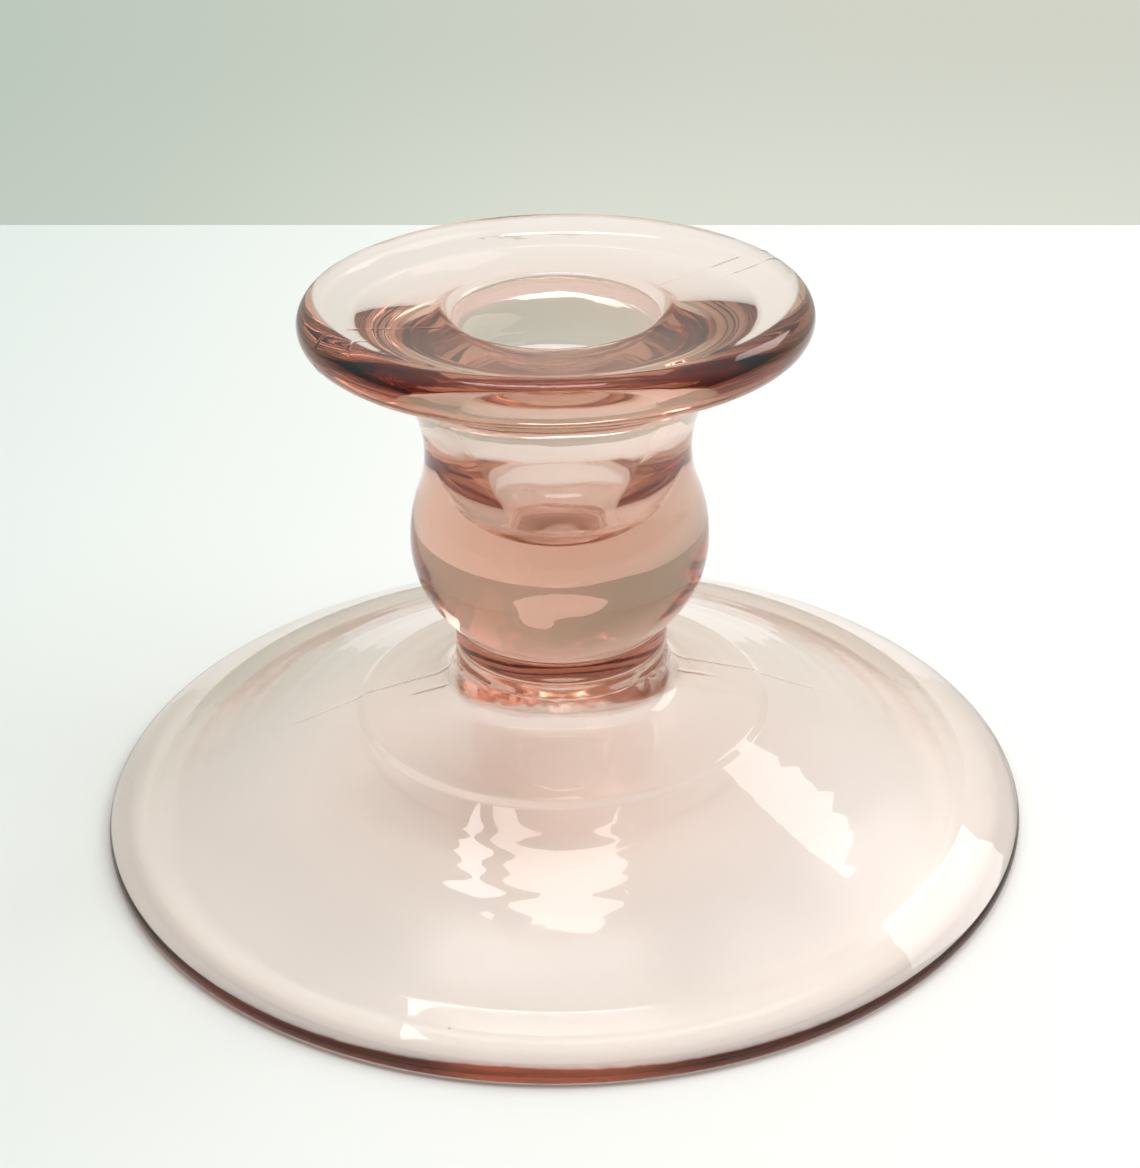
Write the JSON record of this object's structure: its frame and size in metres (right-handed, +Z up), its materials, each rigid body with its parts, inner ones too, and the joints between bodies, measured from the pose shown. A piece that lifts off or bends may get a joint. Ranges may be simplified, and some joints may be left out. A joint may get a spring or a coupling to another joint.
{
  "type": "candlestick",
  "caption": "Low pressed-glass candlestick in clear pale pink, with a wide hollow-backed foot, a bulb-shaped candle cup and a flared drip rim.",
  "frame": {"origin": "centre of the flat ring that the foot stands on", "axes": "+Z up along the axis of the candle socket; +X and +Y level, with the mould seams a few degrees from the X axis"},
  "size_m": [0.108, 0.108, 0.063],
  "materials": {
    "pink_glass": "clear pale pink, fire-polished, deeper where it is thick"
  },
  "bodies": {
    "root": {"foot": "pink_glass", "collar": "pink_glass", "candle_cup": "pink_glass"}
  },
  "joints": []
}
